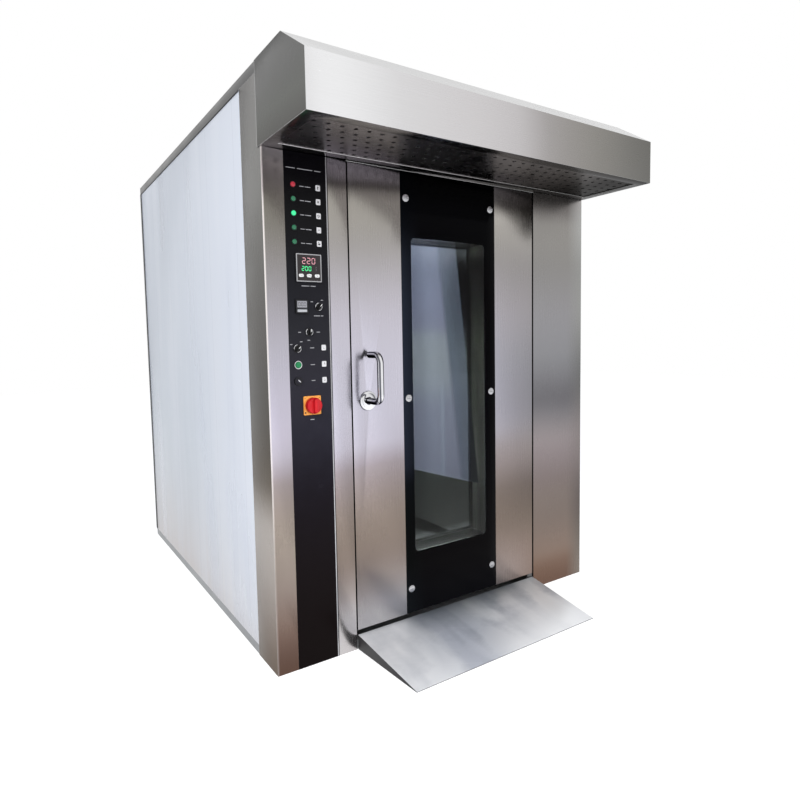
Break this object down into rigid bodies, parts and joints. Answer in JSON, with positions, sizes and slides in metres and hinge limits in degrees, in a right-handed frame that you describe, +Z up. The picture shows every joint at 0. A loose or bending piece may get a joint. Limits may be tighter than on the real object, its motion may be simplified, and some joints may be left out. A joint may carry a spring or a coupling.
{
  "type": "rotating rack oven",
  "caption": "Stainless bakery rack oven with a glazed full-height door, control column, perforated extraction hood and loading ramp.",
  "frame": {"origin": "middle of the footprint, ramp and hood included, on the floor", "axes": "+X to the right seen from the front, +Y from the door to the rear, +Z up"},
  "size_m": [1.6046, 2.276, 2.095],
  "materials": {
    "steel": "vertically brushed stainless sheet",
    "film": "stainless sheet under bluish-white protective film",
    "black_panel": "satin black",
    "dark_steel": "mill finish",
    "galvanised": "zinc coated sheet",
    "chrome": "polished",
    "wool": "mineral wool",
    "glass": "toughened, black printed border",
    "rubber": "silicone seal",
    "motor_paint": "satin",
    "black_plastic": "satin",
    "grey_plastic": "satin",
    "white_plastic": "satin",
    "red_lens": "translucent",
    "green_lens": "translucent",
    "green_button": "gloss",
    "yellow_plate": "satin",
    "red_knob": "satin"
  },
  "bodies": {
    "oven": {"base_frame": "dark_steel", "floor_plate": "steel", "insulation": "wool", "side_panel_left": "film", "side_panel_right": "film", "rear_panel": "galvanised", "top_trim": "steel", "corner_post_left": "steel", "column_right": "steel", "jamb_strip_left": "steel", "front_header": "steel", "control_panel": "black_panel", "hood_shell": "steel", "hood_soffit": "steel", "chamber_liner": "steel", "duct_wall": "steel", "roof_deck": "galvanised", "heating_elements": "dark_steel", "fan_motor": "motor_paint", "gear_motor": "motor_paint", "flue_pipe": "galvanised", "temperature_controller": "grey_plastic", "timer": "grey_plastic", "isolator_plate": "yellow_plate", "hinge_pin_top": "dark_steel", "hinge_pin_bottom": "dark_steel", "indicator_1": "red_lens", "indicator_2": "green_lens", "indicator_3": "green_lens", "indicator_4": "green_lens", "indicator_5": "green_lens"},
    "door": {"door_outer_skin": "steel", "door_inner_skin": "steel", "door_insulation": "wool", "glass_outer": "glass", "glass_inner": "glass", "door_gasket": "rubber", "handle_rose": "chrome", "glass_screw_1": "chrome", "glass_screw_2": "chrome", "glass_screw_3": "chrome", "glass_screw_4": "chrome", "glass_screw_5": "chrome", "glass_screw_6": "chrome"},
    "handle": {"door_handle": "chrome", "latch_tongue": "dark_steel"},
    "fan": {"fan_impeller": "steel"},
    "carrier": {"rack_carrier": "dark_steel"},
    "turntable": {"turntable": "steel"},
    "damper": {"damper_blade": "galvanised"},
    "ramp": {"ramp": "steel"},
    "start_button": {"start_button": "green_button"},
    "isolator": {"isolator_knob": "red_knob"},
    "timer_key": {"timer_key": "white_plastic"},
    "selector_1": {"selector_1": "black_plastic"},
    "controller_key_1": {"controller_key_1": "white_plastic"},
    "selector_2": {"selector_2": "black_plastic"},
    "controller_key_2": {"controller_key_2": "white_plastic"},
    "selector_3": {"selector_3": "black_plastic"},
    "controller_key_3": {"controller_key_3": "white_plastic"}
  },
  "joints": [
    {"name": "door_hinge", "type": "hinge", "parent": "oven", "child": "door", "pos_m": [0.452, -0.771, 0.075], "axis": [0, 0, 1], "range_deg": [0, 110]},
    {"name": "handle_turn", "type": "hinge", "parent": "door", "child": "handle", "pos_m": [-0.408, -0.782, 0.947], "axis": [0, 1, 0], "range_deg": [0, 60]},
    {"name": "fan_spin", "type": "hinge", "parent": "oven", "child": "fan", "pos_m": [-0.005, 0.7789, 1.7], "axis": [0, 0, 1], "continuous": true},
    {"name": "turntable_turn", "type": "hinge", "parent": "oven", "child": "turntable", "pos_m": [-0.005, -0.08065, 0.05], "axis": [0, 0, 1], "continuous": true},
    {"name": "rack_turn", "type": "hinge", "parent": "oven", "child": "carrier", "pos_m": [-0.005, -0.08065, 1.8], "axis": [0, 0, 1], "continuous": true},
    {"name": "damper_turn", "type": "hinge", "parent": "oven", "child": "damper", "pos_m": [-0.425, 0.7054, 1.988], "axis": [1, 0, 0], "range_deg": [-90, 0]},
    {"name": "ramp_slide", "type": "slide", "parent": "oven", "child": "ramp", "axis": [0, -1, 0], "range_m": [0, 0.3]},
    {"name": "button_press", "type": "slide", "parent": "oven", "child": "start_button", "axis": [0, 1, 0], "range_m": [0, 0.003], "stiffness_N_per_m": 400},
    {"name": "isolator_turn", "type": "hinge", "parent": "oven", "child": "isolator", "pos_m": [-0.6395, -0.782, 0.9474], "axis": [0, 1, 0], "range_deg": [0, 90]},
    {"name": "timer_key_press", "type": "slide", "parent": "oven", "child": "timer_key", "axis": [0, 1, 0], "range_m": [0, 0.001], "stiffness_N_per_m": 300},
    {"name": "selector_1_turn", "type": "hinge", "parent": "oven", "child": "selector_1", "pos_m": [-0.604, -0.782, 1.294], "axis": [0, 1, 0], "range_deg": [0, 90]},
    {"name": "selector_2_turn", "type": "hinge", "parent": "oven", "child": "selector_2", "pos_m": [-0.643, -0.782, 1.2055], "axis": [0, 1, 0], "range_deg": [0, 90]},
    {"name": "selector_3_turn", "type": "hinge", "parent": "oven", "child": "selector_3", "pos_m": [-0.69, -0.782, 1.1488], "axis": [0, 1, 0], "range_deg": [0, 90]},
    {"name": "controller_key_1_press", "type": "slide", "parent": "oven", "child": "controller_key_1", "axis": [0, 1, 0], "range_m": [0, 0.001], "stiffness_N_per_m": 300},
    {"name": "controller_key_2_press", "type": "slide", "parent": "oven", "child": "controller_key_2", "axis": [0, 1, 0], "range_m": [0, 0.001], "stiffness_N_per_m": 300},
    {"name": "controller_key_3_press", "type": "slide", "parent": "oven", "child": "controller_key_3", "axis": [0, 1, 0], "range_m": [0, 0.001], "stiffness_N_per_m": 300}
  ],
  "couplings": [
    {"joint": "rack_turn", "follows": "turntable_turn", "ratio": 1}
  ]
}
